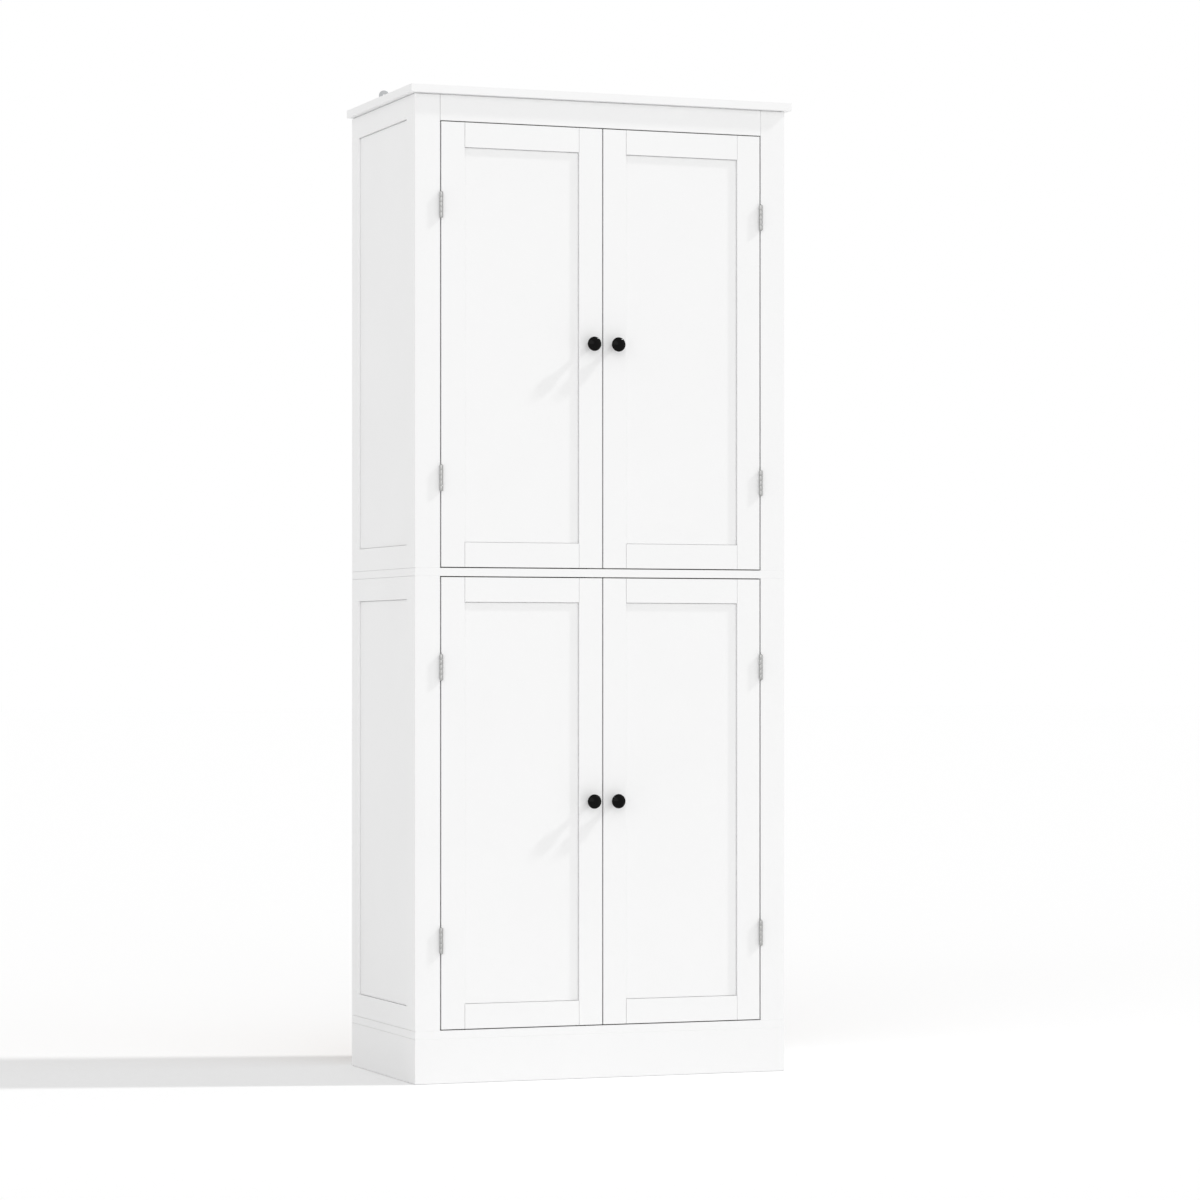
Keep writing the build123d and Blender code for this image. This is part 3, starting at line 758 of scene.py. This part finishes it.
def cross_head(name, radius, height):
    """The mesh of a round head with a cross recess, in millimetres: flush where height is 0, else raised."""
    rim = max(height, flush_rim)
    outline = [(0.0, -cone_depth), (radius * cone_foot, -cone_depth), (radius, 0.0)]
    if height:
        bulge = bulge_share * height
        outline += arc((radius - bulge, height - bulge), bulge, 0, 90, bulge_steps)
    else:
        outline += [(radius, rim)]
    head = mesh_of(spun(outline + [(0.0, rim)], head_sides), name)
    cross = bmesh.new()
    reach, half = radius * recess_reach * mm, radius * recess_width / 2 * mm
    bottom, top = (rim - recess_depth) * mm, (rim + cut_over) * mm
    for across, along in ((reach, half), (half, reach)):
        slab(cross, (-across, -along, bottom), (across, along, top), recess_ease)
    return cut_out(head, mesh_of(cross, name + "_cross"))


leaf_screw = cross_head("leaf_screw", radius=2.7, height=0.0)
small_screw = cross_head("small_screw", radius=2.6, height=0.0)
knob_screw = cross_head("knob_screw", radius=3.9, height=2.4)
bracket_screw = cross_head("bracket_screw", radius=4.2, height=2.4)

# %% [markdown]
# A door carries the screws of its own hinge leaves, the screw behind its knob and the one in its strike
# plate. They could each be a piece, but they never move apart, so a door's screws are stamped into one piece
# that swings with it. The screws of the frame's leaves are gathered for the carcass in the same way.

# %% Screws of the doors
leaf_screw_rise = 15.0 * mm
leaf_screw_inset = 7.5 * mm


def add_leaf_screws(shape, door, way):
    """Adds the screws of a door's hinge leaves: the frame's where way is 1, the door's where it is -1."""
    x, _, levels = hinge_places(door)
    side = way * math.copysign(1, x)
    face = x + side * (hinge_gap / 2 - leaf_thickness)
    for level in levels:
        for rise in (-leaf_screw_rise, leaf_screw_rise):
            seat = (face, front + leaf_screw_inset, level + rise)
            stamp(shape, leaf_screw, standing(seat, (-side, 0, 0)))


carcass_screws = bmesh.new()
for door in doors:
    add_leaf_screws(carcass_screws, door, 1)
    door_screws = bmesh.new()
    add_leaf_screws(door_screws, door, -1)
    x, _, z = rear_middle(f"{door}_door_knob")
    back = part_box(f"{door}_door_knob_stile")[1][1]
    stamp(door_screws, knob_screw, standing((x, back, z), (0, 1, 0)))
    stamp(door_screws, small_screw, standing(rear_middle(f"{door}_door_strike_plate"), (0, 1, 0)))
    keep(door_screws, f"{door}_screws", zinc, f"{door}_door", "zinc_plated_steel", f"{door}_door_screws")

# %% [markdown]
# Each wall bracket is an angle of zinc-plated strip, held to the top board by one raised screw in its foot.
# The strip could be modelled again too, but it is right as it comes from CAD, so only the screw is added.

# %% Screws of the wall brackets
bracket_half = 10.0 * mm
bracket_thickness = 2.0 * mm
bracket_hole_end = 10.0 * mm

low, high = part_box("wall_brackets")
for x in (low[0] + bracket_half, high[0] - bracket_half):
    seat = (x, low[1] + bracket_hole_end, low[2] + bracket_thickness)
    stamp(carcass_screws, bracket_screw, standing(seat, (0, 0, 1)))
    print("bracket screw at", [round(v, 4) for v in seat])

# %% [markdown]
# Each pair of doors shuts against a double magnetic catch, one under the middle board and one on it: a white
# housing, and two ferrite magnets between steel poles that stand just proud of its front. One mesh with three
# materials would do, but three pieces, each with one finish, are plainer to build and to check.

# %% Magnetic catches
catch_height = 13.0 * mm
catch_round = 1.5 * mm
magnet_width = 15.0 * mm
magnet_height = 9.0 * mm
magnet_spacing = 25.0 * mm
magnet_proud = 0.6 * mm
magnet_sink = 0.3 * mm
pole_thickness = 1.6 * mm
pole_bite = 2.0 * mm
pole_round = 0.1 * mm
catch_screw_spacing = 34.0 * mm
catch_screw_setback = 17.0 * mm

housings = bmesh.new()
magnets = bmesh.new()
poles = bmesh.new()
low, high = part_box("magnetic_catches")
housing_front = low[1] + magnet_proud
core_height = magnet_height - 2 * pole_thickness
pole_rise = (magnet_height - pole_thickness) / 2


def add_block(shape, x, z, height, sink):
    """Adds a magnet or a pole, sunk behind the front of the poles."""
    slab(shape, (x - magnet_width / 2, low[1] + sink, z - height / 2),
         (x + magnet_width / 2, housing_front + pole_bite, z + height / 2), pole_round)


for up, far in ((-1, low[2]), (1, high[2])):
    near = far - up * catch_height
    slab(housings, (low[0], housing_front, min(near, far)), (high[0], high[1], max(near, far)), catch_round)
    level = (near + far) / 2
    for side in (-1, 1):
        x = side * magnet_spacing / 2
        add_block(magnets, x, level, core_height, magnet_sink)
        for step in (-pole_rise, pole_rise):
            add_block(poles, x, level + step, pole_thickness, 0.0)
        seat = (side * catch_screw_spacing / 2, housing_front + catch_screw_setback, far)
        stamp(carcass_screws, small_screw, standing(seat, (0, 0, up)))
keep(housings, "catch_housings", plastic, "carcass", "catch_plastic", "magnetic_catches")
keep(magnets, "catch_magnets", ferrite, "carcass", "catch_plastic")
keep(poles, "catch_poles", zinc, "carcass", "zinc_plated_steel")
keep(carcass_screws, "frame_screws", zinc, "carcass", "zinc_plated_steel", "carcass_screws")
